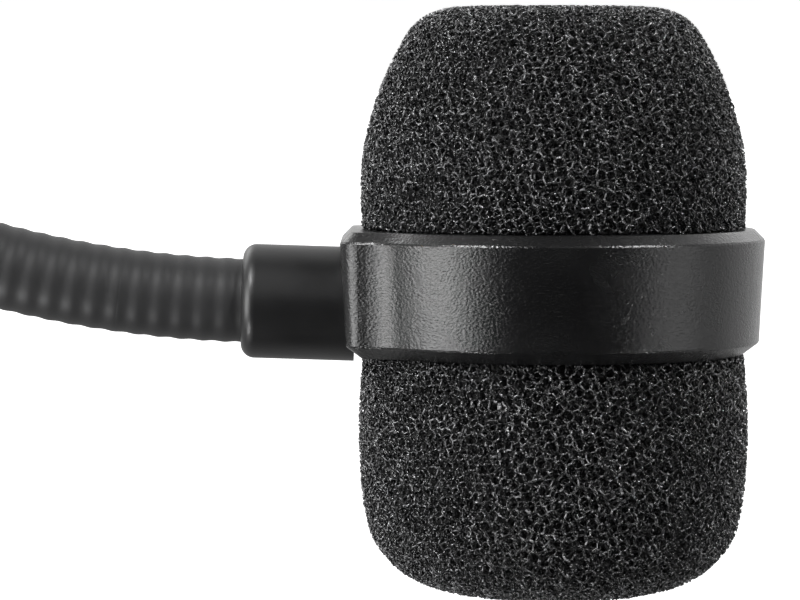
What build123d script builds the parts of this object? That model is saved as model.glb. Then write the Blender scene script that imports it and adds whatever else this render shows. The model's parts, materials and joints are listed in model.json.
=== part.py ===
"""Gooseneck boom microphone: a foam-covered head in a ring, a bendable neck and a jack plug.

Row frame, in millimetres. The origin is the centre of the housing's seating face, where the jack
leaves it. +Z points out along the jack, the neck hangs down from the housing and curls towards +X,
and the ring that holds the head lies flat, square to Z. Y is across the neck.
"""

from build123d import *

import os
from math import cos, radians, sin, sqrt, tan

os.makedirs("parts", exist_ok=True)

# ---- ring ----
RING_RADIUS = 11.0  # of the drafted band, at its top
RING_HALF = 3.25
RING_BORE = 9.6
RING_DRAFT = 3.3  # degrees
TOP_LIP = 0.55
FOOT_LIP = 0.86
FOOT_LIP_HEIGHT = 0.64
FACET = 11.05  # from the ring's middle to the flat that the sleeve goes into
FACET_HALF = 5.9
FACET_SPLAY = 18  # degrees that the sides of the facet's boss spread towards the ring
FACET_CORNER = 1.25
FACET_FLUTE = 3.5
EDGE_ROUND = 0.12
EDGE_BEVEL = 0.05
SOCKET_REACH = 8.1  # from the ring's middle to the inner end of the sleeve's socket
SOCKET_HALF = 3.2
SOCKET_TOP = 2.0
JOIN = 0.3  # how far pieces of one part run into each other
PLAY = 0.05
# ---- sleeve at each end of the neck, by distance from its open end ----
SLEEVE_RADIUS = 2.97
SLEEVE_LENGTH = 5.15  # that shows
SLEEVE_SEAT = 0.75  # how deep the full diameter sits in its pocket
SLEEVE_ROUND = 0.7
SPIGOT_RADIUS = 2.3
SPIGOT_END = 8.1
SPIGOT_FLOOR = 7.6
SLEEVE_DROP = 0.65  # of its axis under the ring's middle
FERRULE_RADIUS = 1.88
FERRULE_BORE = 0.62
FERRULE_END = 7.55
CLIP_LOW, CLIP_HIGH = 5.0, 5.4
CLIP_INNER, CLIP_OUTER = 1.62, 2.06
CLIP_PLAY = 0.02
# ---- neck ----
SHEATH_RADIUS, SHEATH_BORE, SHEATH_SEAT = 2.2, 1.6, 3.0
COIL_RADIUS, COIL_BORE, COIL_SEAT = 1.5, 0.8, 4.4
CABLE_RADIUS = 0.6
NECK_RADIUS = 58.0  # of its curve at rest
NECK_TURN = 88.2  # degrees that it turns on the way to the head
JOINTS = 7
BALL_RADIUS, SOCKET_GAP = 2.6, 0.05  # of the round ends that neighbouring links turn on
# ---- housing and jack ----
HOUSING_RADIUS, HOUSING_LENGTH, HOUSING_ROUND = 5.0, 16.0, 0.8
CAVITY_RADIUS, CAVITY_LOW, CAVITY_HIGH = 4.0, -13.0, -2.2
JACK_RADIUS = 1.75
BARREL_RADIUS = 2.2  # of the jack's sleeve inside the housing
FLANGE_RADIUS, FLANGE_LOW, FLANGE_HIGH = 3.0, -1.6, -1.0
GASKET_INNER, GASKET_OUTER, GASKET_DEPTH = 2.6, 3.4, 0.4
CASE_SCREW_SPOTS = [(-3.65, -14.4), (3.65, -14.4), (-3.8, -1.3), (3.8, -1.3)]
CASE_SCREW_RADIUS, CASE_HEAD_RADIUS, CASE_HEAD_HEIGHT = 0.4, 0.7, 0.6
CASE_SCREW_REACH = 2.3
LEAD_RADIUS = 0.15
# ---- inside the head, by height over the ring's middle ----
WEB_HALF = 0.7
HOOP_RADIUS, HOOP_INNER = 9.58, 8.9
HUB_RADIUS, HUB_BORE, HUB_HALF = 6.9, 5.55, 3.6
SHELL_TOP, SHELL_OPENING = 4.6, 4.9
MESH_RADIUS, MESH_SEAT = 5.38, 0.2
SHELL_SCREW_CIRCLE = 6.2
SHELL_SCREW_RADIUS, SHELL_HEAD_RADIUS, SHELL_HEAD_HEIGHT, SHELL_SCREW_LENGTH = 0.3, 0.5, 0.35, 2.2
BOOT_RADIUS, BOOT_HALF, BOOT_LIP = 5.5, 2.85, 4.3
CAN_RADIUS, CAN_BORE, CAN_HALF = 4.85, 4.6, 2.5
SHELL_CHAMFER = 0.25
MESH_PITCH, MESH_HOLE, MESH_HOLES = 1.1, 0.38, 7
CRADLE_RIBS, SHELL_SCREWS, FIRST_SCREW_ANGLE = 6, 3, 30
WIRE_NOTCH = 1.3
WIRE_RADIUS, WIRE_SPREAD = 0.18, 0.3
# ---- inside the capsule, by height over its middle ----
CAN_FRONT, CAN_CRIMP = 0.3, 0.15
PORT_RADIUS, PORT_CIRCLE, PORTS = 0.4, 2.0, 6
FELT_DEPTH = 0.3
FILM_LOW, FILM_HIGH, FILM_FRAME = 2.0, 2.05, 0.55
SPACER_WALL, SPACER_LOW, SPACER_HIGH = 0.45, -2.0, 1.95
PLATE_LOW, PLATE_HIGH = 1.5, 1.8
PLATE_HOLE, PLATE_CIRCLE, PLATE_HOLES = 0.35, 2.4, 8
CAPSULE_BOARD_LOW, CAPSULE_BOARD_HIGH = -2.33, -2.03
CAPSULE_CHIP, CAPSULE_CHIP_HEIGHT, CAPSULE_CHIP_X = (1.6, 1.2), 0.7, 0.6
CAPSULE_PADS, CAPSULE_PAD_RADIUS = [(-1.5, -0.9), (-1.5, 0.9)], 0.5
CAPSULE_PAD_FACE, CAPSULE_PAD_DEPTH = -2.45, 0.15
# ---- foam covers ----
FOAM_SKIRT, FOAM_BORE, FOAM_CAVITY = 9.45, 7.1, 5.25
FOAM_GAP = 0.1
FRONT_FOAM_RADIUS, REAR_FOAM_RADIUS = 9.95, 9.92
FRONT_SKIRT, REAR_SKIRT = 1.1, -2.4
FRONT_TOP, REAR_FOOT = 14.75, -15.8
FRONT_WALL_TOP = 6.8
FRONT_DOME = [(9.24, 9.9), (8.15, 12.4), (5.7, FRONT_TOP)]  # radius, height
REAR_DOME = [(10.13, -7.6), (9.56, -12.6), (7.37, -15.1), (4.1, REAR_FOOT)]
REAR_FLARE = 0.08
NOTCH_PLAY = 0.25
# ---- jack contacts, each inside the next with an insulator between, by height ----
SHANK_RADIUS, RING_TUBE_INNER, RING_TUBE_OUTER, BARREL_BORE = 0.5, 0.75, 1.0, 1.25
TIP_REAR, RING_REAR, BARREL_REAR = -5.0, -4.6, -4.0
BARREL_END, RING_CONTACT_LOW, RING_CONTACT_HIGH, TIP_LOW = 5.2, 5.5, 8.0, 8.3
TIP_PROFILE = [
    (0, TIP_LOW),
    (JACK_RADIUS, TIP_LOW),
    (JACK_RADIUS, 8.8),
    (1.2, 9.7),
    (1.2, 10.2),
    (JACK_RADIUS, 11.4),
    (1.55, 12.2),
    (0.4, 14.0),
    (0, 14.0),
]
# ---- circuit board in the housing ----
BOARD_HALF_WIDTH, BOARD_HALF_THICK, BOARD_LOW, BOARD_HIGH = 3.2, 0.4, -11.5, -6.2
BOARD_CHIPS, BOARD_CHIP, BOARD_CHIP_HEIGHT = [(-1.4, -8.6), (1.2, -7.8), (1.2, -9.9)], (1.5, 1.1), 0.6
CABLE_PAD_INSET, JACK_PAD_INSET, JACK_PAD_X = 0.9, 0.8, 1.6
TOUCH_GAP = 0.01

# ---- where the pieces are, worked out from those ----
TURN = NECK_TURN / JOINTS
LINK = 2 * NECK_RADIUS * sin(radians(TURN / 2))
NECK_START = Vector(0, 0, -HOUSING_LENGTH - SLEEVE_LENGTH)
ACROSS = Vector(0, 1, 0)
UP = Vector(0, 0, 1)


def heading(angle):
    """The neck's direction where it has turned by angle from straight down."""
    return Vector(sin(radians(angle)), 0, -cos(radians(angle)))


pivots = [NECK_START - UP * (LINK / 2)]
for number in range(1, JOINTS):
    pivots.append(pivots[-1] + heading(number * TURN) * LINK)
NECK_AIM = heading(NECK_TURN)
NECK_STOP = pivots[-1] + NECK_AIM * (LINK / 2)
AT_FACET = NECK_STOP + NECK_AIM * SLEEVE_LENGTH
HEAD = AT_FACET + Vector(FACET, 0, SLEEVE_DROP)


def side_plane(origin, direction):
    """The plane of a turned piece's section: local X is radius, local Y runs along direction."""
    return Plane(origin=origin, x_dir=ACROSS, z_dir=ACROSS.cross(direction))


HEAD_SECTION, HEAD_AXIS = side_plane(HEAD, UP), Axis(HEAD, UP)
CASE_SECTION, CASE_AXIS = side_plane((0, 0, 0), UP), Axis.Z


def head_plan(height):
    """The plane square to the head's axis at a height over the ring's middle."""
    return Plane(origin=HEAD + UP * height)


def band(inner, outer, low, high, mode=Mode.ADD):
    """Adds to a turned section the rectangle between two radii and two heights."""
    with Locations(((inner + outer) / 2, (low + high) / 2)):
        Rectangle(outer - inner, high - low, mode=mode)


def save(piece, name):
    piece.part.label = name
    export_step(piece.part, f"parts/{name}.step")


# ---- ring and cradle ----


def ring_outline(height, inset):
    """The ring's outline at a height over its middle, drawn in by inset."""
    root_half = FACET_HALF + FACET * tan(radians(FACET_SPLAY))
    with BuildSketch(head_plan(height)) as outline:
        Circle(RING_RADIUS)
        Polygon(
            (-FACET, -FACET_HALF),
            (0, -root_half),
            (0, root_half),
            (-FACET, FACET_HALF),
            align=None,
        )
        fillet(outline.vertices().sort_by(Axis.X)[:2], FACET_CORNER)
        fillet(outline.vertices().sort_by(Axis.X)[4:6], FACET_FLUTE)
        offset(amount=-inset)
    return outline.sketch


draft = tan(radians(RING_DRAFT))
band_top, band_foot = RING_HALF - TOP_LIP, FOOT_LIP_HEIGHT - RING_HALF
band_inset = (band_top - band_foot) * draft
ring_levels = [  # height and inset, from the foot up
    (-RING_HALF, band_inset + FOOT_LIP),
    (band_foot - EDGE_BEVEL, band_inset + EDGE_BEVEL * FOOT_LIP / FOOT_LIP_HEIGHT),
    (band_foot + EDGE_BEVEL, band_inset - EDGE_BEVEL * draft),
    (band_top - EDGE_BEVEL, EDGE_BEVEL * draft),
    (band_top + EDGE_BEVEL, EDGE_BEVEL),
    (RING_HALF, TOP_LIP),
]
with BuildPart() as ring_holder:
    for lower, upper in zip(ring_levels[:-1], ring_levels[1:]):
        loft([ring_outline(*lower), ring_outline(*upper)], ruled=True)
    level_edges = ring_holder.edges().filter_by(lambda e: e.bounding_box().size.Z < 0.001)
    for edges in (level_edges.group_by(Axis.Z)[0], level_edges.group_by(Axis.Z)[-1]):
        fillet(edges, EDGE_ROUND)
    with BuildSketch(head_plan(-RING_HALF)):
        Circle(RING_BORE)
    extrude(amount=2 * RING_HALF, mode=Mode.SUBTRACT)
    with BuildSketch(head_plan(-RING_HALF)):
        with Locations((-(SOCKET_REACH + RING_BORE) / 2, 0)):
            Rectangle(RING_BORE - SOCKET_REACH + JOIN, 2 * SOCKET_HALF)
    extrude(amount=RING_HALF + SOCKET_TOP)
    with BuildSketch(side_plane(NECK_STOP, NECK_AIM)):
        band(0, SLEEVE_RADIUS, SLEEVE_LENGTH - SLEEVE_SEAT, SLEEVE_LENGTH + SLEEVE_SEAT)
        band(0, SPIGOT_RADIUS, SLEEVE_LENGTH, SPIGOT_END + JOIN)
    revolve(axis=Axis(NECK_STOP, NECK_AIM), mode=Mode.SUBTRACT)
save(ring_holder, "ring_holder")

with BuildPart() as capsule_cradle:
    with BuildSketch(HEAD_SECTION):
        band(HOOP_INNER, HOOP_RADIUS, -WEB_HALF, WEB_HALF)
        band(HUB_BORE, HUB_RADIUS, -HUB_HALF, HUB_HALF)
    revolve(axis=HEAD_AXIS)
    with BuildSketch(head_plan(-WEB_HALF)):
        with PolarLocations((HUB_RADIUS + HOOP_INNER) / 2, CRADLE_RIBS):
            Rectangle(HOOP_INNER - HUB_RADIUS + JOIN, 2 * WEB_HALF)
    extrude(amount=2 * WEB_HALF)
    with BuildSketch(head_plan(-HUB_HALF)):
        with Locations((-HOOP_RADIUS, 0)):
            Rectangle(2 * (HOOP_RADIUS - SOCKET_REACH + PLAY), 2 * (SOCKET_HALF + PLAY))
    extrude(amount=2 * HUB_HALF, mode=Mode.SUBTRACT)
    with BuildSketch(head_plan(-HUB_HALF)):
        with Locations((-(HUB_RADIUS + HUB_BORE) / 2, 0)):
            Rectangle(2 * (HUB_RADIUS - HUB_BORE), WIRE_NOTCH)
    extrude(amount=HUB_HALF - WEB_HALF - PLAY, mode=Mode.SUBTRACT)
    for end in (1, -1):
        with BuildSketch(Plane(origin=HEAD + UP * (end * HUB_HALF), z_dir=-UP * end)):
            with PolarLocations(SHELL_SCREW_CIRCLE, SHELL_SCREWS, start_angle=FIRST_SCREW_ANGLE):
                Circle(SHELL_SCREW_RADIUS)
        extrude(amount=SHELL_SCREW_LENGTH, mode=Mode.SUBTRACT)
save(capsule_cradle, "capsule_cradle")


def end_plane(end, height):
    """A plan plane at the head's front (end 1) or rear (end -1) that looks outwards."""
    return Plane(origin=HEAD + UP * (end * height), z_dir=UP * end)


def housing_shell(end):
    """The rim that screws onto the hub and traps the mesh."""
    with BuildPart() as shell:
        with BuildSketch(end_plane(end, HUB_HALF)):
            Circle(HUB_RADIUS)
            Circle(SHELL_OPENING, mode=Mode.SUBTRACT)
        extrude(amount=SHELL_TOP - HUB_HALF)
        chamfer(shell.edges().sort_by(Axis(HEAD, UP * end))[-2:], SHELL_CHAMFER)
        with BuildSketch(end_plane(end, HUB_HALF)):
            Circle(MESH_RADIUS)
        extrude(amount=MESH_SEAT, mode=Mode.SUBTRACT)
        with BuildSketch(end_plane(end, HUB_HALF)):
            with PolarLocations(SHELL_SCREW_CIRCLE, SHELL_SCREWS, start_angle=FIRST_SCREW_ANGLE):
                Circle(SHELL_SCREW_RADIUS)
        extrude(amount=SHELL_TOP - HUB_HALF, mode=Mode.SUBTRACT)
    return shell


def mesh_disc(end):
    """A perforated disc over the capsule."""
    with BuildPart() as disc:
        with BuildSketch(end_plane(end, HUB_HALF)):
            Circle(MESH_RADIUS)
            with GridLocations(MESH_PITCH, MESH_PITCH, MESH_HOLES, MESH_HOLES):
                Circle(MESH_HOLE, mode=Mode.SUBTRACT)
        extrude(amount=MESH_SEAT)
    return disc


save(housing_shell(1), "housing_front_shell")
save(housing_shell(-1), "housing_rear_shell")
save(mesh_disc(1), "front_mesh")
save(mesh_disc(-1), "rear_mesh")

with BuildPart() as shell_screws:
    for end in (1, -1):
        with BuildSketch(end_plane(end, SHELL_TOP)):
            with PolarLocations(SHELL_SCREW_CIRCLE, SHELL_SCREWS, start_angle=FIRST_SCREW_ANGLE):
                Circle(SHELL_HEAD_RADIUS)
        extrude(amount=SHELL_HEAD_HEIGHT)
        with BuildSketch(end_plane(end, SHELL_TOP)):
            with PolarLocations(SHELL_SCREW_CIRCLE, SHELL_SCREWS, start_angle=FIRST_SCREW_ANGLE):
                Circle(SHELL_SCREW_RADIUS)
        extrude(amount=-SHELL_SCREW_LENGTH)
save(shell_screws, "shell_screws")

# ---- capsule ----

with BuildPart() as isolation_boot:
    with BuildSketch(HEAD_SECTION):
        band(CAN_RADIUS, BOOT_RADIUS, -BOOT_HALF, BOOT_HALF)
        band(BOOT_LIP, CAN_RADIUS, CAN_HALF, BOOT_HALF)
        band(BOOT_LIP, CAN_RADIUS, -BOOT_HALF, -CAN_HALF)
    revolve(axis=HEAD_AXIS)
save(isolation_boot, "isolation_boot")

with BuildPart() as capsule_can:
    with BuildSketch(HEAD_SECTION):
        band(CAN_BORE, CAN_RADIUS, -CAN_HALF, CAN_HALF)
        band(0, CAN_RADIUS, CAN_HALF - CAN_FRONT, CAN_HALF)
        band(BOOT_LIP, CAN_RADIUS, -CAN_HALF, -CAN_HALF + CAN_CRIMP)
    revolve(axis=HEAD_AXIS)
    with BuildSketch(head_plan(0)):
        Circle(PORT_RADIUS)
        with PolarLocations(PORT_CIRCLE, PORTS):
            Circle(PORT_RADIUS)
    extrude(amount=CAN_HALF, mode=Mode.SUBTRACT)
save(capsule_can, "capsule_can")

with BuildPart() as capsule_felt:
    with BuildSketch(HEAD_SECTION):
        band(0, BOOT_LIP - PLAY, CAN_HALF, CAN_HALF + FELT_DEPTH)
    revolve(axis=HEAD_AXIS)
save(capsule_felt, "capsule_felt")

with BuildPart() as capsule_diaphragm:
    with BuildSketch(HEAD_SECTION):
        band(0, CAN_BORE - 2 * PLAY, FILM_LOW, FILM_HIGH)
        band(CAN_BORE - PLAY - FILM_FRAME, CAN_BORE - PLAY, FILM_HIGH, CAN_HALF - CAN_FRONT)
    revolve(axis=HEAD_AXIS)
save(capsule_diaphragm, "capsule_diaphragm")

with BuildPart() as capsule_insulator:
    with BuildSketch(HEAD_SECTION):
        band(CAN_BORE - PLAY - SPACER_WALL, CAN_BORE - PLAY, SPACER_LOW, SPACER_HIGH)
    revolve(axis=HEAD_AXIS)
save(capsule_insulator, "capsule_insulator")

with BuildPart() as capsule_backplate:
    with BuildSketch(HEAD_SECTION):
        band(0, CAN_BORE - 2 * PLAY - SPACER_WALL, PLATE_LOW, PLATE_HIGH)
    revolve(axis=HEAD_AXIS)
    with BuildSketch(head_plan(PLATE_LOW)):
        with PolarLocations(PLATE_CIRCLE, PLATE_HOLES):
            Circle(PLATE_HOLE)
    extrude(amount=PLATE_HIGH - PLATE_LOW, mode=Mode.SUBTRACT)
save(capsule_backplate, "capsule_backplate")

with BuildPart() as capsule_pcb:
    with BuildSketch(HEAD_SECTION):
        band(0, CAN_BORE - PLAY, CAPSULE_BOARD_LOW, CAPSULE_BOARD_HIGH)
    revolve(axis=HEAD_AXIS)
    with BuildSketch(head_plan(CAPSULE_PAD_FACE)):
        with Locations(*CAPSULE_PADS):
            Circle(CAPSULE_PAD_RADIUS)
    extrude(amount=CAPSULE_PAD_DEPTH)
    with BuildSketch(head_plan(CAPSULE_BOARD_HIGH)):
        with Locations((CAPSULE_CHIP_X, 0)):
            Rectangle(*CAPSULE_CHIP)
    extrude(amount=CAPSULE_CHIP_HEIGHT)
save(capsule_pcb, "capsule_pcb")


def strand(points, radius):
    """A wire of round section along points with its corners rounded."""
    with BuildPart() as wire:
        with BuildLine() as route:
            FilletPolyline(*points, radius=2 * radius)
        with BuildSketch(Plane(origin=route.line @ 0, z_dir=route.line % 0)):
            Circle(radius)
        sweep(path=route.line)
    return wire.part


cable_end_x = -SOCKET_REACH + 4 * TOUCH_GAP
wire_exit, wire_floor, wire_turn_x = -0.98, -3.22, -6.25
with BuildPart() as signal_wires:
    for side in (-1, 1):
        pad_x, pad_y = CAPSULE_PADS[1][0], side * CAPSULE_PADS[1][1]
        stops = [
            (cable_end_x, side * WIRE_SPREAD, wire_exit),
            (wire_turn_x, side * WIRE_SPREAD, wire_exit),
            (wire_turn_x, side * WIRE_SPREAD, wire_floor),
            (2 * pad_x, side * WIRE_SPREAD, wire_floor),
            (pad_x, pad_y, wire_floor),
            (pad_x, pad_y, CAPSULE_PAD_FACE),
        ]
        add(strand([HEAD + Vector(*stop) for stop in stops], WIRE_RADIUS))
save(signal_wires, "signal_wires")

# ---- neck ends: the same sleeve, ferrule and clip at the head and at the housing ----


def sleeve(origin, direction):
    """Satin sleeve with a spigot; distances run from its open end along direction."""
    with BuildPart() as piece:
        with BuildSketch(side_plane(origin, direction)) as section:
            band(SHEATH_RADIUS, SLEEVE_RADIUS, 0, SHEATH_SEAT)
            band(FERRULE_RADIUS, SLEEVE_RADIUS, SHEATH_SEAT, SLEEVE_LENGTH + SLEEVE_SEAT)
            band(FERRULE_RADIUS, SPIGOT_RADIUS, SLEEVE_LENGTH + SLEEVE_SEAT, SPIGOT_FLOOR)
            band(FERRULE_BORE, SPIGOT_RADIUS, SPIGOT_FLOOR, SPIGOT_END)
            band(FERRULE_RADIUS, CLIP_OUTER + CLIP_PLAY, CLIP_LOW, CLIP_HIGH, mode=Mode.SUBTRACT)
            rim = section.vertices().group_by(Axis.Y)[0].sort_by(Axis.X)[-1]
            fillet(rim, SLEEVE_ROUND)
        revolve(axis=Axis(origin, direction))
    return piece


def ferrule(origin, direction):
    """Brass ferrule: it grips the coil's end and has a groove for the clip."""
    with BuildPart() as piece:
        with BuildSketch(side_plane(origin, direction)):
            band(COIL_RADIUS, FERRULE_RADIUS, SHEATH_SEAT, COIL_SEAT)
            band(FERRULE_BORE, FERRULE_RADIUS, COIL_SEAT, FERRULE_END)
            band(CLIP_INNER - CLIP_PLAY, FERRULE_RADIUS, CLIP_LOW, CLIP_HIGH, mode=Mode.SUBTRACT)
        revolve(axis=Axis(origin, direction))
    return piece


def clip(origin, direction):
    """Open spring ring that locks the ferrule in the sleeve."""
    with BuildPart() as piece:
        with BuildSketch(side_plane(origin, direction)):
            band(CLIP_INNER, CLIP_OUTER, CLIP_LOW + CLIP_PLAY, CLIP_HIGH - CLIP_PLAY)
        revolve(axis=Axis(origin, direction), revolution_arc=320)
    return piece


save(sleeve(NECK_STOP, NECK_AIM), "neck_collar")
save(ferrule(NECK_STOP, NECK_AIM), "head_ferrule")
save(clip(NECK_STOP, NECK_AIM), "head_clip")
save(sleeve(NECK_START, UP), "base_collar")
save(ferrule(NECK_START, UP), "base_ferrule")
save(clip(NECK_START, UP), "base_clip")

# ---- neck ----


def on_ball(radius, ball, centre):
    """The section's point at a radius where a ball around the axis is crossed."""
    return (radius, centre + sqrt(ball**2 - radius**2))


def neck_layer(start, direction, length, inner, outer, cupped=True, domed=True):
    """A tube of the neck from start. A cupped start and a domed end let its neighbours turn."""
    middle = (inner + outer) / 2
    with BuildPart() as layer:
        with BuildSketch(side_plane(start, direction)):
            with BuildLine():
                if cupped:
                    cup = BALL_RADIUS + SOCKET_GAP
                    low = ThreePointArc(*(on_ball(r, cup, 0) for r in (inner, middle, outer)))
                else:
                    low = Line((inner, 0), (outer, 0))
                if domed:
                    high = ThreePointArc(
                        *(on_ball(r, BALL_RADIUS, length) for r in (outer, middle, inner))
                    )
                else:
                    high = Line((outer, length), (inner, length))
                Line(low @ 1, high @ 0)
                Line(high @ 1, low @ 0)
            make_face()
        revolve(axis=Axis(start, direction))
    return layer


LAYERS = {
    "sheath": (SHEATH_BORE, SHEATH_RADIUS, SHEATH_SEAT),
    "coil": (COIL_BORE, COIL_RADIUS, COIL_SEAT),
    "cable": (0, CABLE_RADIUS, SPIGOT_END),
}
for layer_name, (inner, outer, seat) in LAYERS.items():
    base_start = NECK_START + UP * seat
    save(
        neck_layer(base_start, -UP, seat + LINK / 2, inner, outer, cupped=False),
        f"base_{layer_name}",
    )
    for number in range(JOINTS - 1):
        aim = heading((number + 1) * TURN)
        save(
            neck_layer(pivots[number], aim, LINK, inner, outer),
            f"neck_{layer_name}_{number + 1}",
        )
    save(
        neck_layer(pivots[-1], NECK_AIM, seat + LINK / 2, inner, outer, domed=False),
        f"head_{layer_name}",
    )

# ---- foam covers ----

with BuildPart() as front_windscreen:
    with BuildSketch(HEAD_SECTION):
        with BuildLine():
            shoulder = RING_HALF + FOAM_GAP
            wall = Line((FRONT_FOAM_RADIUS, shoulder), (FRONT_FOAM_RADIUS, FRONT_WALL_TOP))
            dome = Spline(wall @ 1, *FRONT_DOME, tangents=[(0, 1), (-1, 0)])
            Polyline(
                dome @ 1,
                (0, FRONT_TOP),
                (0, FOAM_CAVITY),
                (FOAM_BORE, FOAM_CAVITY),
                (FOAM_BORE, FRONT_SKIRT),
                (FOAM_SKIRT, FRONT_SKIRT),
                (FOAM_SKIRT, shoulder),
                (FRONT_FOAM_RADIUS, shoulder),
            )
        make_face()
    revolve(axis=HEAD_AXIS)
    with BuildSketch(head_plan(FRONT_SKIRT)):
        with Locations((-HOOP_RADIUS, 0)):
            Rectangle(2 * (HOOP_RADIUS - SOCKET_REACH + NOTCH_PLAY), 2 * (SOCKET_HALF + NOTCH_PLAY))
    extrude(amount=SOCKET_TOP + NOTCH_PLAY - FRONT_SKIRT, mode=Mode.SUBTRACT)
save(front_windscreen, "front_windscreen")

with BuildPart() as rear_windscreen:
    with BuildSketch(HEAD_SECTION):
        with BuildLine():
            shoulder = -RING_HALF - FOAM_GAP
            foot = (REAR_FOAM_RADIUS, shoulder)
            dome = Spline(foot, *REAR_DOME, tangents=[(REAR_FLARE, -1), (-1, 0)])
            Polyline(
                dome @ 1,
                (0, REAR_FOOT),
                (0, -FOAM_CAVITY),
                (FOAM_BORE, -FOAM_CAVITY),
                (FOAM_BORE, REAR_SKIRT),
                (FOAM_SKIRT, REAR_SKIRT),
                (FOAM_SKIRT, shoulder),
                (REAR_FOAM_RADIUS, shoulder),
            )
        make_face()
    revolve(axis=HEAD_AXIS)
    with BuildSketch(head_plan(REAR_SKIRT)):
        with Locations((-HOOP_RADIUS, 0)):
            Rectangle(2 * (HOOP_RADIUS - SOCKET_REACH + NOTCH_PLAY), 2 * (SOCKET_HALF + NOTCH_PLAY))
    extrude(amount=-(RING_HALF + REAR_SKIRT + FOAM_GAP), mode=Mode.SUBTRACT)
save(rear_windscreen, "rear_windscreen")

# ---- housing ----


def case_screw_sketch(reach, radius):
    """Circles for the case screws on an upright plane at a distance towards -Y."""
    with BuildSketch(Plane.XZ.offset(reach)) as spots:
        with Locations(*CASE_SCREW_SPOTS):
            Circle(radius)
    return spots


def housing_half(keep):
    """Half of the turned housing, with its screw holes."""
    with BuildPart() as half:
        with BuildSketch(CASE_SECTION) as section:
            band(0, HOUSING_RADIUS, -HOUSING_LENGTH, 0)
            corners = section.vertices().sort_by(Axis.X)[-2:]
            fillet(corners, HOUSING_ROUND)
            band(0, SLEEVE_RADIUS, -HOUSING_LENGTH, -HOUSING_LENGTH + SLEEVE_SEAT, Mode.SUBTRACT)
            band(0, SPIGOT_RADIUS, -HOUSING_LENGTH, CAVITY_LOW, Mode.SUBTRACT)
            band(0, CAVITY_RADIUS, CAVITY_LOW, CAVITY_HIGH, Mode.SUBTRACT)
            band(0, BARREL_RADIUS, CAVITY_HIGH, 0, Mode.SUBTRACT)
            band(0, FLANGE_RADIUS, FLANGE_LOW, FLANGE_HIGH, Mode.SUBTRACT)
            band(GASKET_INNER, GASKET_OUTER, -GASKET_DEPTH, 0, Mode.SUBTRACT)
        revolve(axis=CASE_AXIS)
        split(bisect_by=Plane.XZ, keep=keep)
        extrude(
            case_screw_sketch(CASE_SCREW_REACH, CASE_SCREW_RADIUS).sketch,
            amount=-2 * CASE_SCREW_REACH,
            mode=Mode.SUBTRACT,
        )
        extrude(
            case_screw_sketch(CASE_SCREW_REACH, CASE_HEAD_RADIUS).sketch,
            amount=HOUSING_RADIUS,
            mode=Mode.SUBTRACT,
        )
    return half


save(housing_half(Keep.TOP), "housing_screw_half")
save(housing_half(Keep.BOTTOM), "housing_nut_half")

with BuildPart() as housing_screws:
    extrude(
        case_screw_sketch(CASE_SCREW_REACH, CASE_SCREW_RADIUS).sketch,
        amount=-2 * CASE_SCREW_REACH,
    )
    extrude(
        case_screw_sketch(CASE_SCREW_REACH, CASE_HEAD_RADIUS).sketch,
        amount=CASE_HEAD_HEIGHT,
    )
save(housing_screws, "housing_screws")

with BuildPart() as seating_gasket:
    with BuildSketch(CASE_SECTION):
        band(GASKET_INNER, GASKET_OUTER, -GASKET_DEPTH, 0)
    revolve(axis=CASE_AXIS)
save(seating_gasket, "seating_gasket")

# ---- jack ----

with BuildPart() as jack_sleeve:
    with BuildSketch(CASE_SECTION):
        band(BARREL_BORE, BARREL_RADIUS, BARREL_REAR, 0)
        band(BARREL_BORE, JACK_RADIUS, 0, BARREL_END)
        band(BARREL_BORE, FLANGE_RADIUS, FLANGE_LOW, FLANGE_HIGH)
    revolve(axis=CASE_AXIS)
save(jack_sleeve, "jack_sleeve")

with BuildPart() as jack_ring:
    with BuildSketch(CASE_SECTION):
        band(RING_TUBE_INNER, RING_TUBE_OUTER, RING_REAR, RING_CONTACT_HIGH)
        band(RING_TUBE_INNER, JACK_RADIUS, RING_CONTACT_LOW, RING_CONTACT_HIGH)
    revolve(axis=CASE_AXIS)
save(jack_ring, "jack_ring")

with BuildPart() as jack_tip:
    with BuildSketch(CASE_SECTION):
        band(0, SHANK_RADIUS, TIP_REAR, TIP_LOW)
        with BuildLine():
            Polyline(*TIP_PROFILE, close=True)
        make_face()
    revolve(axis=CASE_AXIS)
save(jack_tip, "jack_tip")

with BuildPart() as jack_insulators:
    with BuildSketch(CASE_SECTION):
        band(SHANK_RADIUS, RING_TUBE_INNER, RING_REAR, TIP_LOW)
        band(SHANK_RADIUS, JACK_RADIUS, RING_CONTACT_HIGH, TIP_LOW)
        band(RING_TUBE_OUTER, BARREL_BORE, BARREL_REAR, RING_CONTACT_LOW)
        band(RING_TUBE_OUTER, JACK_RADIUS, BARREL_END, RING_CONTACT_LOW)
    revolve(axis=CASE_AXIS)
save(jack_insulators, "jack_insulators")

# ---- circuit board and its wires ----

with BuildPart() as plug_pcb:
    with BuildSketch(Plane.XZ.offset(-BOARD_HALF_THICK)):
        with Locations((0, (BOARD_LOW + BOARD_HIGH) / 2)):
            Rectangle(2 * BOARD_HALF_WIDTH, BOARD_HIGH - BOARD_LOW)
    extrude(amount=2 * BOARD_HALF_THICK)
    with BuildSketch(Plane.XZ.offset(BOARD_HALF_THICK)):
        with Locations(*BOARD_CHIPS):
            Rectangle(*BOARD_CHIP)
    extrude(amount=BOARD_CHIP_HEIGHT)
save(plug_pcb, "plug_pcb")

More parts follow.
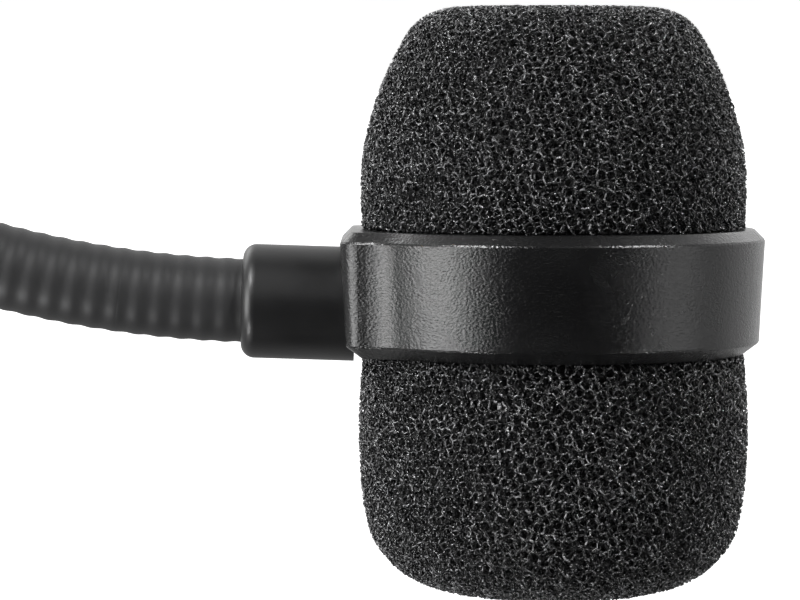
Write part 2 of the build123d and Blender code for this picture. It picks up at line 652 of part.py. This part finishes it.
pad_height = BOARD_HALF_THICK + LEAD_RADIUS + TOUCH_GAP
cable_pads = BOARD_LOW + CABLE_PAD_INSET
jack_pads = BOARD_HIGH - JACK_PAD_INSET
cable_stop = NECK_START.Z + SPIGOT_END + TOUCH_GAP
contacts = [  # each contact's tube on the jack, its end, and where its wire meets the board
    (0, TIP_REAR, 0),
    (-(RING_TUBE_INNER + RING_TUBE_OUTER) / 2, RING_REAR, -JACK_PAD_X),
    ((BARREL_BORE + JACK_RADIUS) / 2, BARREL_REAR, JACK_PAD_X),
]
with BuildPart() as lead_wires:
    for side in (-1, 1):
        stops = [
            (side * WIRE_SPREAD, 0, cable_stop),
            (side * WIRE_SPREAD, 0, cable_stop + 2 * WIRE_SPREAD),
            (3 * side * WIRE_SPREAD, pad_height, BOARD_LOW - WIRE_SPREAD),
            (3 * side * WIRE_SPREAD, pad_height, cable_pads),
        ]
        add(strand([Vector(*stop) for stop in stops], LEAD_RADIUS))
    for tube_x, tube_end, pad_x in contacts:
        stops = [
            (pad_x, pad_height, jack_pads),
            (pad_x, pad_height, BOARD_HIGH + 2 * PLAY),
            (tube_x, 0, TIP_REAR - 10 * PLAY),
            (tube_x, 0, tube_end - 2 * TOUCH_GAP),
        ]
        add(strand([Vector(*stop) for stop in stops], LEAD_RADIUS))
save(lead_wires, "lead_wires")
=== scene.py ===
import json
from math import cos, radians, sin, tan

import bpy
import numpy as np
from mathutils import Euler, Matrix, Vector

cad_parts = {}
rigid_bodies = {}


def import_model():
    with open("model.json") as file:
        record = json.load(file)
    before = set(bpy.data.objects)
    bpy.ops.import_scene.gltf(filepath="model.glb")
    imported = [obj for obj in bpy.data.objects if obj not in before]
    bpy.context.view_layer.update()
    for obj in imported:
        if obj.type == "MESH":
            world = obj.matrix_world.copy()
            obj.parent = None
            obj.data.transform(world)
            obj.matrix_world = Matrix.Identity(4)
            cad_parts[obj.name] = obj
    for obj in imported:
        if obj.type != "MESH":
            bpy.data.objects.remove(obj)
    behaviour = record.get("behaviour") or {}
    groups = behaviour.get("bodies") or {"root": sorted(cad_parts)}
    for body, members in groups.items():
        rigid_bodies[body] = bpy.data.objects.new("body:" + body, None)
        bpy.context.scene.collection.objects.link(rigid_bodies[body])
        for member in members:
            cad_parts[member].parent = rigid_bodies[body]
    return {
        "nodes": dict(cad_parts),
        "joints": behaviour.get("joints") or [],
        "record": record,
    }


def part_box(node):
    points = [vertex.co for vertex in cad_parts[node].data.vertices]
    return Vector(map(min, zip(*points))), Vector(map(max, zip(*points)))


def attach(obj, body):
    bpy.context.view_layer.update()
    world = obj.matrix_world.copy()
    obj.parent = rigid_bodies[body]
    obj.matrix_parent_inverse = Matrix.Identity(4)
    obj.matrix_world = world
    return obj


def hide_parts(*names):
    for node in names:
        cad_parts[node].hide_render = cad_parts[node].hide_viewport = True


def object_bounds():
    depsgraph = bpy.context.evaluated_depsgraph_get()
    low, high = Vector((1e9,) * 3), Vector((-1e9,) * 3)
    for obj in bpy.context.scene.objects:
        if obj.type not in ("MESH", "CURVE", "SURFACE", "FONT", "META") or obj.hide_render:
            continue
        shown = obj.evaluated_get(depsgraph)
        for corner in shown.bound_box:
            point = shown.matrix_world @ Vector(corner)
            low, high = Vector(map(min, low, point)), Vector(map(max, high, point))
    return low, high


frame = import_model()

MM = 0.001
CAD_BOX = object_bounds()

# ---- where the head is: its axis runs through the foam, and its middle is the ring's ----
ring_low, ring_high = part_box("ring_holder")
foam_low, foam_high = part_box("front_windscreen")
HEAD = Vector(((foam_low[0] + foam_high[0]) / 2, 0.0, (ring_low[2] + ring_high[2]) / 2))
RING_TOP = ring_high[2] - HEAD.z
RING_FOOT = ring_low[2] - HEAD.z
object_low, object_high = CAD_BOX
FLOOR_Z = object_low[2] - 60 * MM

scene = bpy.context.scene
scene.view_settings.view_transform = "Standard"


# ---- camera: a long lens, a little above the head ----
def add_camera():
    distance, elevation, lens = 250 * MM, radians(2.84), 216
    aim = HEAD + Vector((-7.98, 0.0, -0.47)) * MM
    data = bpy.data.cameras.new("camera")
    data.lens = lens
    data.clip_start = 1 * MM
    data.clip_end = 50
    camera = bpy.data.objects.new("camera", data)
    camera.location = aim + distance * Vector((0.0, -cos(elevation), sin(elevation)))
    camera.rotation_euler = (radians(90) - elevation, 0.0, 0.0)
    scene.collection.objects.link(camera)
    scene.camera = camera


add_camera()


# ---- materials ----
class Nodes:
    """A material with short calls for the nodes that it is made of. Lengths are in millimetres."""

    def __init__(self, name):
        self.material = bpy.data.materials.new(name)
        self.material.use_nodes = True
        self.tree = self.material.node_tree
        self.shader = self.tree.nodes["Principled BSDF"]
        self.object_space = self.add("ShaderNodeTexCoord").outputs["Object"]

    def add(self, kind, **settings):
        node = self.tree.nodes.new(kind)
        for key, value in settings.items():
            setattr(node, key, value)
        return node

    def link(self, source, target):
        self.tree.links.new(source, target)

    def set(self, **values):
        for key, value in values.items():
            self.shader.inputs[key.replace("_", " ")].default_value = value

    def stretched(self, x, y, z):
        """Object coordinates with each axis squeezed by its own factor."""
        mapping = self.add("ShaderNodeMapping")
        mapping.inputs["Scale"].default_value = (x, y, z)
        self.link(self.object_space, mapping.inputs["Vector"])
        return mapping.outputs["Vector"]

    def noise(self, size, detail=3.0, rough=0.55, vector=None, distortion=0.0):
        """Noise whose lumps are about size across."""
        node = self.add("ShaderNodeTexNoise")
        node.inputs["Scale"].default_value = 1 / (size * MM)
        node.inputs["Detail"].default_value = detail
        node.inputs["Roughness"].default_value = rough
        node.inputs["Distortion"].default_value = distortion
        self.link(vector or self.object_space, node.inputs["Vector"])
        return node.outputs["Fac"]

    def cells(self, size, feature="SMOOTH_F1", vector=None, smooth=0.5):
        """Distance into cells about size across."""
        node = self.add("ShaderNodeTexVoronoi", feature=feature)
        node.inputs["Scale"].default_value = 1 / (size * MM)
        if feature == "SMOOTH_F1":
            node.inputs["Smoothness"].default_value = smooth
        self.link(vector or self.object_space, node.inputs["Vector"])
        return node.outputs["Distance"]

    def ramp(self, value, low, high, start=0.3, end=0.7):
        """value mapped from start..end to low..high."""
        node = self.add("ShaderNodeMapRange")
        for key, number in (("From Min", start), ("From Max", end), ("To Min", low), ("To Max", high)):
            node.inputs[key].default_value = number
        self.link(value, node.inputs["Value"])
        return node.outputs["Result"]

    def mix(self, value, low, high):
        """A colour between two greys or colours, by value."""
        node = self.add("ShaderNodeMix", data_type="RGBA")
        node.inputs["A"].default_value = (*low, 1)
        node.inputs["B"].default_value = (*high, 1)
        self.link(value, node.inputs["Factor"])
        return node.outputs["Result"]

    def math(self, operation, a, b):
        node = self.add("ShaderNodeMath", operation=operation)
        for socket, value in zip(node.inputs, (a, b)):
            if isinstance(value, (int, float)):
                socket.default_value = value
            else:
                self.link(value, socket)
        return node.outputs["Value"]

    def bump(self, height, depth, strength=1.0):
        """Relief of depth between the lowest and highest of a 0..1 height."""
        node = self.add("ShaderNodeBump")
        node.inputs["Distance"].default_value = depth * MM
        node.inputs["Strength"].default_value = strength
        self.link(height, node.inputs["Height"])
        self.link(node.outputs["Normal"], self.shader.inputs["Normal"])


def grained_plastic(name, shade, grain, depth, rough, flat=1.0):
    """Moulded black plastic with a leather grain: soft cells, wrinkled, wider than they are tall."""
    m = Nodes(name)
    space = m.stretched(1, 1, flat)
    wrinkle = m.noise(grain, detail=4, vector=space, distortion=0.8)
    pebble = m.cells(0.8 * grain, vector=space, smooth=0.7)
    height = m.math("ADD", m.math("MULTIPLY", wrinkle, 0.6), m.math("MULTIPLY", pebble, 0.5))
    m.bump(height, depth)
    wear = m.noise(3.0, detail=3)
    low = [0.85 * c for c in shade]
    high = [1.15 * c for c in shade]
    m.link(m.mix(wear, low, high), m.shader.inputs["Base Color"])
    m.link(m.ramp(wear, rough - 0.04, rough + 0.04), m.shader.inputs["Roughness"])
    return m.material


def metal(name, shade, rough, grain=0.05):
    """Turned or drawn metal with fine marks."""
    m = Nodes(name)
    m.set(Metallic=1.0)
    marks = m.noise(grain, detail=4, vector=m.stretched(1, 1, 6))
    m.link(m.mix(marks, [0.85 * c for c in shade], shade), m.shader.inputs["Base Color"])
    m.link(m.ramp(marks, rough, rough + 0.12), m.shader.inputs["Roughness"])
    m.bump(marks, 0.004)
    return m.material


def dull(name, shade, size, rough, depth=0.01, variation=0.3):
    """Rubber, felt and other matt parts."""
    m = Nodes(name)
    speck = m.noise(size, detail=4)
    low = [(1 - variation) * c for c in shade]
    high = [(1 + variation) * c for c in shade]
    m.link(m.mix(speck, low, high), m.shader.inputs["Base Color"])
    m.link(m.ramp(speck, rough - 0.05, rough + 0.05), m.shader.inputs["Roughness"])
    m.bump(speck, depth)
    return m.material


BLACK = (0.005, 0.005, 0.0053)
MATERIALS = {
    "ring_plastic": grained_plastic("ring_plastic", (0.0035, 0.0035, 0.0037), 0.20, 0.034, 0.26, flat=1.9),
    "collar_satin": grained_plastic("collar_satin", (0.006, 0.006, 0.0063), 0.12, 0.006, 0.40),
    "housing_plastic": grained_plastic("housing_plastic", BLACK, 0.16, 0.012, 0.40),
    "cradle_plastic": grained_plastic("cradle_plastic", BLACK, 0.20, 0.008, 0.5),
    "neck_sheath": dull("neck_sheath", (0.013, 0.013, 0.0135), 0.10, 0.5, depth=0.004, variation=0.15),
    "boot_rubber": dull("boot_rubber", (0.02, 0.02, 0.02), 0.15, 0.7),
    "gasket_rubber": dull("gasket_rubber", (0.015, 0.015, 0.015), 0.12, 0.6),
    "cable_jacket": dull("cable_jacket", (0.015, 0.015, 0.015), 0.12, 0.55),
    "felt_black": dull("felt_black", (0.015, 0.015, 0.016), 0.06, 0.95, depth=0.03, variation=0.5),
    "wire_jacket": dull("wire_jacket", (0.45, 0.04, 0.03), 0.10, 0.35, depth=0.002, variation=0.1),
    "insulator_black": dull("insulator_black", (0.012, 0.012, 0.012), 0.2, 0.3, depth=0.002),
    "board_green": dull("board_green", (0.02, 0.13, 0.05), 0.25, 0.4, depth=0.003),
    "screw_steel": metal("screw_steel", (0.09, 0.09, 0.095), 0.35),
    "neck_coil": metal("neck_coil", (0.5, 0.5, 0.51), 0.3),
    "brass_part": metal("brass_part", (0.72, 0.52, 0.24), 0.28),
    "gold_contact": metal("gold_contact", (0.88, 0.66, 0.30), 0.2),
    "can_aluminium": metal("can_aluminium", (0.75, 0.75, 0.76), 0.3),
    "mesh_steel": metal("mesh_steel", (0.12, 0.12, 0.12), 0.45),
    "film_metal": metal("film_metal", (0.85, 0.83, 0.78), 0.12),
}
NODE_SLOTS = {s["node"]: s["material_slot"] for s in frame["record"]["subparts"]}


def paint(piece, *materials):
    """Give a mesh its materials, one slot each, in order."""
    for material in materials:
        piece.data.materials.append(material)


for node_name, node in frame["nodes"].items():
    material_slot = NODE_SLOTS[node_name]
    if material_slot in MATERIALS:
        for index in range(len(node.material_slots)):
            node.material_slots[index].material = MATERIALS[material_slot]


# ---- meshes ----
def mesh_object(name, points, faces, smooth=True):
    """A mesh object from numpy points and faces that all have the same number of corners."""
    mesh = bpy.data.meshes.new(name)
    count, corners = faces.shape
    mesh.vertices.add(len(points))
    mesh.vertices.foreach_set("co", points.astype(np.float32).ravel())
    mesh.loops.add(count * corners)
    mesh.loops.foreach_set("vertex_index", faces.astype(np.int32).ravel())
    mesh.polygons.add(count)
    mesh.polygons.foreach_set("loop_start", np.arange(0, count * corners, corners, dtype=np.int32))
    mesh.polygons.foreach_set("use_smooth", np.full(count, smooth))
    mesh.update(calc_edges=True)
    piece = bpy.data.objects.new(name, mesh)
    scene.collection.objects.link(piece)
    return piece


def grid_faces(rows, columns):
    """Quads between rows of points that close round on themselves."""
    row, column = np.meshgrid(np.arange(rows - 1), np.arange(columns), indexing="ij")
    after = (column + 1) % columns
    corners = (row * columns + column, row * columns + after)
    corners += ((row + 1) * columns + after, (row + 1) * columns + column)
    return np.stack(corners, -1).reshape(-1, 4)


# ---- open-cell foam: its struts as rods, over a dark core painted with the shade of the deeper foam ----
LATTICE_TILT = Euler((0.52, 0.33, 0.21)).to_matrix()  # no row of cells lines up with the head
FOAM_PITCH = 0.60
FOAM_DEPTH = 0.85
FOAM_CELLS = 6  # pitches after which the block repeats
FOAM_JITTER = 0.16  # of a pitch
NEIGHBOURS = 20  # the sites that can cut a cell
STRUT = 0.047
STRUT_SPREAD = (0.7, 1.4)  # thinnest and thickest strut, as a share of STRUT
SHADE_SHARES = (0.45, 0.35, 0.20)  # of the struts that are dark, mid and light
CAP_DEPTH = 4.0  # how far from the end the skin can reach the axis


def foam_block(cells, jitter, seed):
    """The struts of a block of foam that repeats every `cells` pitches, as pairs of end points.

    The cells are the Voronoi cells of a jittered body-centred lattice. A cell's corner is a point
    where three of its walls meet and no other wall cuts it off, and a strut joins two corners that
    share two walls.
    """
    near = NEIGHBOURS
    random = np.random.default_rng(seed)
    steps = np.stack(np.meshgrid(*[np.arange(cells)] * 3, indexing="ij"), -1).reshape(-1, 3)
    sites = np.concatenate([steps, steps + 0.5]) + random.uniform(-jitter, jitter, (2 * cells**3, 3))
    shifts = np.stack(np.meshgrid(*[(-1, 0, 1)] * 3, indexing="ij"), -1).reshape(-1, 3) * cells
    cloud = (sites[None] + shifts[:, None]).reshape(-1, 3)
    owner = np.tile(np.arange(len(sites)), len(shifts))
    inside = np.all((cloud > -2) & (cloud < cells + 2), axis=1)
    cloud, owner = cloud[inside], owner[inside]

    gaps = np.linalg.norm(sites[:, None] - cloud[None], axis=2)
    nearest = np.argsort(gaps, axis=1)[:, 1 : near + 1]
    walls = cloud[nearest] - sites[:, None]
    reach = (walls**2).sum(2) / 2
    triples = np.array([(a, b, c) for a in range(near) for b in range(a) for c in range(b)])
    normals = walls[:, triples]
    flat = np.abs(np.linalg.det(normals)) < 1e-6
    normals[flat] = np.eye(3)
    corners = np.linalg.solve(normals, reach[:, triples][..., None])[..., 0]
    outside = np.einsum("stk,swk->stw", corners, walls) > reach[:, None] + 1e-7
    site, triple = np.nonzero(~flat & ~outside.any(axis=2))
    corners = corners[site, triple]

    pairs = triples[triple][:, [[0, 1], [0, 2], [1, 2]]]
    keys = (site[:, None] * near + pairs[..., 0]) * near + pairs[..., 1]
    keys, index = keys.ravel(), np.repeat(np.arange(len(site)), 3)
    order = np.argsort(keys, kind="stable")
    keys, index = keys[order], index[order]
    match = np.nonzero(keys[1:] == keys[:-1])[0]
    one, two = index[match], index[match + 1]
    home = site[one]
    wall_a, wall_b = keys[match] // near % near, keys[match] % near
    first = (home < owner[nearest[home, wall_a]]) & (home < owner[nearest[home, wall_b]])
    struts = np.stack([corners[one], corners[two]], 1) + sites[home][:, None]
    return struts[first]


def skin_depth(points, outline):
    """How far each point lies under a turned outline of (radius, height); negative outside it."""
    radius, height = np.linalg.norm(points[:, :2], axis=1), points[:, 2]
    spot = np.stack([radius, height], 1)
    depth = np.full(len(points), np.inf)
    for start, end in zip(outline[:-1], outline[1:]):
        run = end - start
        along = np.clip(((spot - start) @ run) / (run @ run), 0, 1)
        depth = np.minimum(depth, np.linalg.norm(spot - start - along[:, None] * run, axis=1))
    order = np.argsort(outline[:, 1], kind="stable")
    edge = np.interp(height, outline[order, 1], outline[order, 0], left=-1, right=-1)
    return np.where(radius < edge, depth, -depth)


def foam_struts(block, period, pitch, outline, depth):
    """The struts within depth under a turned outline, cut off at its surface."""
    low, high = outline[:, 1].min(), outline[:, 1].max()
    centre = np.array([0.0, 0.0, (low + high) / 2])
    widest = outline[:, 0].max()
    tiles = int(np.ceil(np.hypot(widest, (high - low) / 2) / (period * pitch)))
    steps = np.arange(-tiles, tiles) * period
    shifts = np.stack(np.meshgrid(steps, steps, steps, indexing="ij"), -1).reshape(-1, 1, 1, 3)
    struts = (block + shifts).reshape(-1, 2, 3) * pitch
    struts = struts @ np.array(LATTICE_TILT).T + centre
    middle = struts.mean(axis=1)
    radius, height = np.linalg.norm(middle[:, :2], axis=1), middle[:, 2]
    wall = (radius < widest) & (radius > widest / 3)
    cap = np.abs(height) > np.abs(outline[-1, 1]) - CAP_DEPTH
    near = (height > low) & (height < high) & (wall | cap)
    struts, middle = struts[near], middle[near]
    under = skin_depth(middle, outline)
    shell = (under > -pitch) & (under < depth)
    struts = struts[shell]
    ends = np.stack([skin_depth(struts[:, 0], outline), skin_depth(struts[:, 1], outline)], 1)
    kept = (ends > 0).any(axis=1)
    struts, ends = struts[kept], ends[kept]
    for end in (0, 1):
        out = ends[:, end] < 0
        share = ends[out, 1 - end] / (ends[out, 1 - end] - ends[out, end])
        inner = struts[out, 1 - end]
        struts[out, end] = inner + share[:, None] * (struts[out, end] - inner)
    return struts


def strut_mesh(name, struts, thickness, seed):
    """Three-sided rods with closed ends, each with its own thickness and one of three shades."""
    random = np.random.default_rng(seed)
    start, end = struts[:, 0], struts[:, 1]
    aim = end - start
    aim /= np.linalg.norm(aim, axis=1, keepdims=True) + 1e-12
    helper = np.where(np.abs(aim[:, 2:3]) < 0.9, [[0.0, 0.0, 1.0]], [[1.0, 0.0, 0.0]])
    side = np.cross(aim, helper)
    side /= np.linalg.norm(side, axis=1, keepdims=True)
    other = np.cross(aim, side)
    turn = random.uniform(0, 2 * np.pi, len(struts))
    thick = thickness * random.uniform(*STRUT_SPREAD, len(struts))
    rings = []
    for place in (0.0, 1.0):
        centre = start + place * (end - start)
        for corner in range(3):
            angle = turn + corner * 2 * np.pi / 3
            spoke = np.cos(angle)[:, None] * side + np.sin(angle)[:, None] * other
            rings.append(centre + spoke * thick[:, None])
    points = np.stack(rings, 1).reshape(-1, 3)
    base = np.arange(len(struts))[:, None] * 6
    wall = np.array([[0, 1, 4], [0, 4, 3], [1, 2, 5], [1, 5, 4], [2, 0, 3], [2, 3, 5]])
    caps = np.array([[0, 2, 1], [3, 4, 5]])
    pattern = np.concatenate([wall, caps])
    faces = (base[:, :, None] + pattern[None]).reshape(-1, 3)
    piece = mesh_object(name, points * MM + np.array(HEAD), faces)
    shade = np.repeat(random.choice(3, len(struts), p=SHADE_SHARES), len(pattern))
    piece.data.polygons.foreach_set("material_index", shade.astype(np.int32))
    return piece


def smooth_outline(points, start_aim, end_aim, steps=8):
    """Points along a Hermite curve through points, leaving and ending along the two aims."""
    points = np.array(points, float)
    chords = np.linalg.norm(np.diff(points, axis=0), axis=1)
    tangents = np.zeros_like(points)
    tangents[0], tangents[-1] = start_aim, end_aim
    tangents[1:-1] = points[2:] - points[:-2]
    tangents /= np.linalg.norm(tangents, axis=1, keepdims=True)
    curve = []
    for k, chord in enumerate(chords):
        for t in np.linspace(0, 1, steps, endpoint=False):
            a, b = 2 * t**3 - 3 * t**2 + 1, t**3 - 2 * t**2 + t
            c, d = -2 * t**3 + 3 * t**2, t**3 - t**2
            leaving = a * points[k] + b * chord * tangents[k]
            curve.append(leaving + c * points[k + 1] + d * chord * tangents[k + 1])
    curve.append(points[-1])
    return np.array(curve)


def turned_surface(name, outline, columns=96):
    """A surface of revolution about the head's axis from (radius, height) in millimetres."""
    angle = np.linspace(0, 2 * np.pi, columns, endpoint=False)
    radius, height = outline[:, 0][:, None], outline[:, 1][:, None]
    rows = [radius * np.cos(angle), radius * np.sin(angle), height + 0 * angle]
    points = np.stack(rows, -1).reshape(-1, 3) * MM + np.array(HEAD)
    return mesh_object(name, points, grid_faces(len(outline), columns))


FRONT_TOP = (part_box("front_windscreen")[1][2] - HEAD.z) / MM
REAR_FOOT = (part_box("rear_windscreen")[0][2] - HEAD.z) / MM
front_outline = smooth_outline(
    [
        (9.97, RING_TOP / MM + 0.02),
        (9.97, 6.8),
        (9.26, 9.9),
        (8.18, 12.4),
        (7.0, 14.1),
        (5.2, FRONT_TOP),
        (0, FRONT_TOP),
    ],
    start_aim=(0, 1),
    end_aim=(-1, 0),
)
rear_outline = smooth_outline(
    [
        (9.92, RING_FOOT / MM - 0.02),
        (10.13, -7.6),
        (9.60, -12.4),
        (8.3, -14.3),
        (6.6, -15.3),
        (4.1, REAR_FOOT),
        (0, REAR_FOOT),
    ],
    start_aim=(0.05, -1),
    end_aim=(-1, 0),
)


def strut_material(name, shade, rough, gloss):
    """Cut foam's struts, one plain shade each; the foam's pattern is its geometry."""
    m = Nodes(name)
    m.set(Base_Color=(shade, shade, 1.03 * shade, 1), Roughness=rough, Specular_IOR_Level=gloss)
    return m.material


def foam_shade_core_material():
    """A sheet under the struts with the deeper foam's shade painted on: faint cell lines that fade into
    black.
    """
    m = Nodes("foam_shade_core")
    walls = m.cells(FOAM_PITCH, feature="DISTANCE_TO_EDGE")
    lines = m.ramp(walls, 1.0, 0.0, start=0.0, end=0.12)
    # painted shade: near-black, with the cell lines a little lighter, where the deeper foam lies in its
    # own shade
    m.link(m.mix(lines, (0.0015, 0.0015, 0.0015), (0.012, 0.012, 0.012)), m.shader.inputs["Base Color"])
    m.set(Roughness=0.9)
    m.bump(lines, 0.08)
    return m.material


STRUT_MATERIALS = [
    strut_material("foam_strut_dark", 0.006, 0.36, 0.5),
    strut_material("foam_strut_mid", 0.028, 0.26, 1.0),
    strut_material("foam_strut_light", 0.14, 0.20, 1.0),
]
FOAM_SHADE_CORE = foam_shade_core_material()
foam = foam_block(FOAM_CELLS, FOAM_JITTER, seed=7)


def shrunk(outline, depth):
    """The outline moved inwards."""
    run = np.gradient(outline, axis=0)
    run /= np.linalg.norm(run, axis=1, keepdims=True)
    sign = 1 if outline[-1, 1] > outline[0, 1] else -1
    inward = np.stack([-run[:, 1], run[:, 0]], 1) * sign
    moved = outline + depth * inward
    moved[:, 0] = np.maximum(moved[:, 0], 0)
    moved[-1, 0] = 0
    return moved


for foam_name, outline, body, seed in (
    ("front", front_outline, "front_foam", 11),
    ("rear", rear_outline, "rear_foam", 12),
):
    struts = foam_struts(foam, FOAM_CELLS, FOAM_PITCH, outline, FOAM_DEPTH)
    piece = strut_mesh(f"{foam_name}_foam_struts", struts, STRUT, seed)
    paint(piece, *STRUT_MATERIALS)
    # the core is a dark sheet with painted shade that stands in for the shade deep inside the foam
    core = turned_surface(f"{foam_name}_foam_shade_core", shrunk(outline, FOAM_DEPTH - 0.1))
    paint(core, FOAM_SHADE_CORE)
    for part in (piece, core):
        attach(part, body)
        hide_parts(f"{foam_name}_windscreen")


# ---- neck sheath: a ribbed tube, one piece for each body ----
SHEATH_RADIUS = 2.2
RIB_PITCH = 1.12
RIB_DEPTH = 0.05
RIB_STEPS = 10
SHEATH_COLUMNS = 64
DOME_RADIUS = 2.14
DOME_SLOPES = (89, 60, 40, 20)  # from the tip of a piece's round end to its rim
SHEATH_TAIL = 2.9  # of its length inside the sleeves
NECK_CURVE = 88.2  # degrees, from its top to its foot
ACROSS = np.array([0.0, 1.0, 0.0])
hinges = [j for j in frame["joints"] if j["name"].startswith("neck")]
pivots = [Vector(j["pos_m"]) / MM for j in hinges]
TURN = radians(NECK_CURVE / len(hinges))
link = (pivots[1] - pivots[0]).length
BEND_RADIUS = link / 2 / tan(TURN / 2)
NECK_TOP = pivots[0] + Vector((0, 0, link / 2))
BEND_CENTRE = NECK_TOP + Vector((BEND_RADIUS, 0, 0))


def neck_frame(length):
    """The neck's centre line at a length from its top: place, direction and in-plane normal."""
    whole = BEND_RADIUS * TURN * len(hinges)
    bent = min(max(float(length), 0.0), whole)
    angle = bent / BEND_RADIUS
    past = float(length) - bent
    out = Vector((-cos(angle), 0, -sin(angle)))
    aim = Vector((sin(angle), 0, -cos(angle)))
    return BEND_CENTRE + BEND_RADIUS * out + past * aim, aim, out


def rib(length):
    """Radius of the ribbed sheath, in soft waves."""
    return SHEATH_RADIUS - RIB_DEPTH * (1 + cos(2 * np.pi * length / RIB_PITCH)) / 2


def neck_piece(body, start, end):
    """The sheath from one length to another. Its round ends keep it whole when a hinge there bends."""
    steps = int(round((end - start) / RIB_PITCH * RIB_STEPS))
    around = np.linspace(0, 2 * np.pi, SHEATH_COLUMNS, endpoint=False)[:, None]
    slopes = np.radians(DOME_SLOPES)
    spots = [(start, -DOME_RADIUS * sin(slope), DOME_RADIUS * cos(slope)) for slope in slopes]
    spots += [(length, 0.0, rib(length)) for length in np.linspace(start, end, steps + 1)]
    spots += [(end, DOME_RADIUS * sin(slope), DOME_RADIUS * cos(slope)) for slope in slopes[::-1]]
    rows = []
    for length, beyond, radius in spots:
        place, aim, out = (np.array(v) for v in neck_frame(length))
        rows.append(place + beyond * aim + radius * (np.cos(around) * out + np.sin(around) * ACROSS))
    faces = grid_faces(len(rows), SHEATH_COLUMNS)
    piece = mesh_object(f"sheath_of_{body}", np.concatenate(rows) * MM, faces)
    paint(piece, MATERIALS["neck_sheath"])
    return piece


arc = BEND_RADIUS * TURN
seams = [-SHEATH_TAIL] + [arc * (k + 0.5) for k in range(len(hinges))] + [arc * len(hinges) + SHEATH_TAIL]
neck_bodies = [hinges[0]["parent"]] + [hinge["child"] for hinge in hinges]
sheath_nodes = ["base_sheath"] + [f"neck_sheath_{k}" for k in range(1, len(hinges))] + ["head_sheath"]
for body, sheath_node, start, end in zip(neck_bodies, sheath_nodes, seams[:-1], seams[1:]):
    piece = neck_piece(body, start, end)
    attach(piece, body)
    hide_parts(sheath_node)


# ---- floor, light and surroundings ----
def stage_piece(name, points, faces):
    """A plain white part of the studio that is seen but throws no light on the microphone."""
    piece = mesh_object(name, points, faces, smooth=False)
    m = Nodes(f"{name}_paper")
    m.set(Base_Color=(0.9, 0.9, 0.9, 1), Roughness=0.9)
    m.set(Emission_Color=(1, 1, 1, 1), Emission_Strength=1.0)
    paint(piece, m.material)
    piece.visible_diffuse = False
    piece.visible_glossy = False
    piece.visible_shadow = False


def add_floor():
    """A wide pale floor well under the microphone, which hangs from its plug."""
    size = 20.0
    sides = ((-size, -size), (size, -size), (size, size), (-size, size))
    corners = np.array([(x, y, FLOOR_Z) for x, y in sides])
    stage_piece("floor", corners, np.array([[0, 1, 2, 3]]))


def add_walls():
    """The studio's white walls and ceiling, joined to the floor as one round room."""
    radius, height, columns = 15.0, 15.0, 48
    angle = np.linspace(0, 2 * np.pi, columns, endpoint=False)
    rows = []
    for share, level in ((1.0, FLOOR_Z), (1.0, height / 2), (0.7, height), (0.01, height)):
        reach = share * radius
        rows.append(np.stack([reach * np.cos(angle), reach * np.sin(angle), level + 0 * angle], 1))
    stage_piece("walls", np.concatenate(rows), grid_faces(len(rows), columns))


def add_softbox(name, azimuth, elevation, distance, width, height, strength):
    """A softbox aimed at the head; azimuth 0 is the camera's side and positive is to its right."""
    data = bpy.data.lights.new(name, "AREA")
    data.shape = "RECTANGLE"
    data.size, data.size_y = width * MM, height * MM
    data.energy = strength * data.size * data.size_y * np.pi
    light = bpy.data.objects.new(name, data)
    a, e = radians(azimuth), radians(elevation)
    away = Vector((sin(a) * cos(e), -cos(a) * cos(e), sin(e)))
    light.location = HEAD + away * distance * MM
    light.rotation_euler = away.to_track_quat("Z", "Y").to_euler()
    light.visible_camera = False
    scene.collection.objects.link(light)


# Each ramp: the direction that it runs along, where it starts and ends, and its low and high factor.
WORLD_RAMPS = (
    ((0, 1, 0), -0.1, 0.35, 0.02, 1.0),
    ((0, 0, 1), -0.5, 0.1, 0.45, 1.0),
)


def add_world():
    """Light from the bright back of the studio; its front is dark and its floor is dimmer."""
    world = bpy.data.worlds.new("studio")
    world.use_nodes = True
    tree = world.node_tree
    background = tree.nodes["Background"]
    coordinate = tree.nodes.new("ShaderNodeTexCoord")
    factors = []
    for direction, start, end, low, high in WORLD_RAMPS:
        towards = tree.nodes.new("ShaderNodeVectorMath")
        towards.operation = "DOT_PRODUCT"
        towards.inputs[1].default_value = direction
        ramp = tree.nodes.new("ShaderNodeMapRange")
        ramp.interpolation_type = "SMOOTHSTEP"
        for key, number in (("From Min", start), ("From Max", end), ("To Min", low), ("To Max", high)):
            ramp.inputs[key].default_value = number
        tree.links.new(coordinate.outputs["Generated"], towards.inputs[0])
        tree.links.new(towards.outputs["Value"], ramp.inputs["Value"])
        factors.append(ramp.outputs["Result"])
    product = tree.nodes.new("ShaderNodeMath")
    product.operation = "MULTIPLY"
    tree.links.new(factors[0], product.inputs[0])
    tree.links.new(factors[1], product.inputs[1])
    tree.links.new(product.outputs["Value"], background.inputs["Color"])
    scene.world = world


add_floor()
add_walls()
add_world()
add_softbox("key_left", -67, 0, 320, 190, 240, 8.5)
add_softbox("fill_right", 68, 0, 320, 190, 260, 1.8)
add_softbox("front_high", 0, 25, 350, 100, 90, 1.2)
add_softbox("rim_left", -140, 32, 320, 180, 120, 2.4)
add_softbox("rim_right", 146, 28, 320, 170, 110, 1.0)
add_softbox("spark_left", -52, 42, 300, 44, 44, 130.0)
add_softbox("spark_right", 54, 42, 300, 40, 40, 130.0)
add_softbox("spark_low_left", -62, -45, 300, 44, 44, 60.0)
add_softbox("spark_low_right", 58, -42, 300, 40, 40, 60.0)
